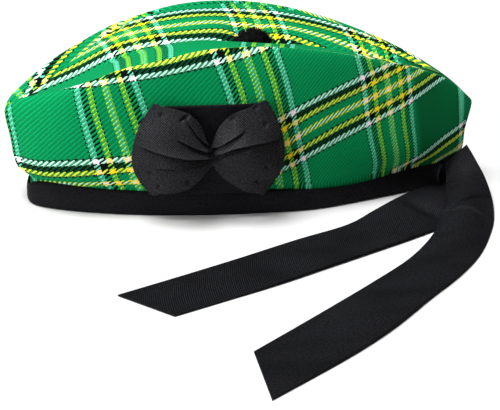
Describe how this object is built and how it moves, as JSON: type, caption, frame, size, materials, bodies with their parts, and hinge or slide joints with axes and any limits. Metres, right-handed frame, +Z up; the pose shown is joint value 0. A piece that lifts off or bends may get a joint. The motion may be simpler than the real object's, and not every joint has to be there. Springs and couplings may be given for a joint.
{
  "type": "glengarry cap",
  "caption": "Boat-shaped tartan cap with a dipped crown, a pompom, a ribbon bow on the side and ribbon tails hanging from the back of its band.",
  "frame": {"origin": "centre of the head opening, on the floor that the band stands on", "axes": "+X to the back of the cap, -Y to the wearer's left, +Z up out of the crown"},
  "size_m": [0.3082, 0.3561, 0.1138],
  "materials": {
    "tartan": "matte woven wool twill",
    "ribbon": "matte ribbed grosgrain",
    "yarn": "fuzzy cut wool yarn"
  },
  "bodies": {
    "root": {"left_side": "tartan", "right_side": "tartan", "crown": "tartan", "band": "ribbon", "toorie": "yarn", "bow_backing": "ribbon", "bow_left_loop": "ribbon", "bow_right_loop": "ribbon", "long_tail": "ribbon", "short_tail": "ribbon"}
  },
  "joints": []
}
